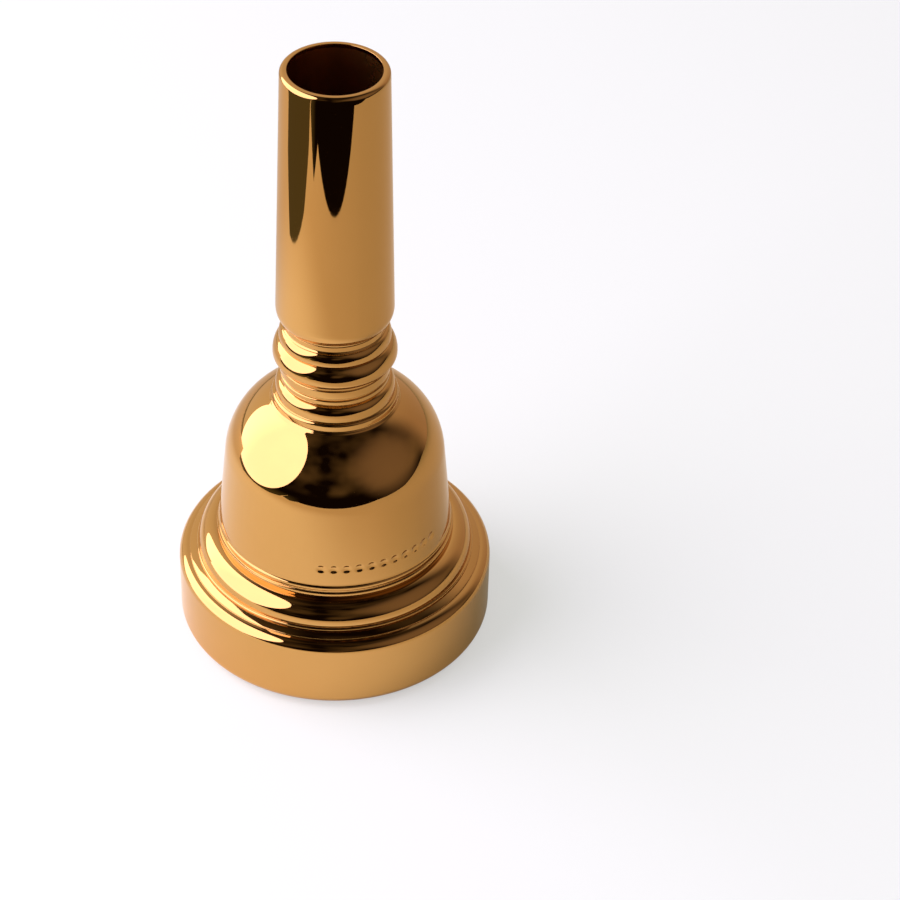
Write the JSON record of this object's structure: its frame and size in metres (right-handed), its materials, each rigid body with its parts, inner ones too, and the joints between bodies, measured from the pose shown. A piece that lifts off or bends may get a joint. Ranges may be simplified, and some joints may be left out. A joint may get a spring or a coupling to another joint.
{
  "type": "sectional brass mouthpiece",
  "caption": "Gold-plated sectional mouthpiece for a low brass instrument: crowned rim, bell-shaped cup and long tapered shank, joined by screw threads with sealing rings.",
  "frame": {"origin": "centre of the playing face of the rim, on the surface the mouthpiece stands on", "axes": "+Z along the bore axis from the playing face to the tip of the shank; -Y is the front, where the row of punch marks starts"},
  "size_m": [0.0395, 0.0394, 0.0803],
  "materials": {
    "gold_plate": "gold-plated brass, mirror polished",
    "black_rubber": "black nitrile rubber"
  },
  "bodies": {
    "rim": {"rim": "gold_plate"},
    "rim_ring_carrier": {"rim_o_ring": "black_rubber"},
    "cup": {"cup": "gold_plate"},
    "shank_ring_carrier": {"shank_o_ring": "black_rubber"},
    "shank": {"shank": "gold_plate"}
  },
  "joints": [
    {"name": "cup_lift", "type": "slide", "parent": "rim", "child": "rim_ring_carrier", "axis": [0, 0, 1], "range_m": [0, 0.004]},
    {"name": "cup_unscrew", "type": "hinge", "parent": "rim_ring_carrier", "child": "cup", "pos_m": [0, 0, 0.0107], "axis": [0, 0, 1], "range_deg": [0, 1440]},
    {"name": "shank_lift", "type": "slide", "parent": "cup", "child": "shank_ring_carrier", "axis": [0, 0, 1], "range_m": [0, 0.00375]},
    {"name": "shank_unscrew", "type": "hinge", "parent": "shank_ring_carrier", "child": "shank", "pos_m": [0, 0, 0.0458], "axis": [0, 0, 1], "range_deg": [0, 1800]}
  ],
  "couplings": [
    {"joint": "cup_unscrew", "follows": "cup_lift", "rad_per_m": 6283.2},
    {"joint": "shank_unscrew", "follows": "shank_lift", "rad_per_m": 8377.6}
  ]
}
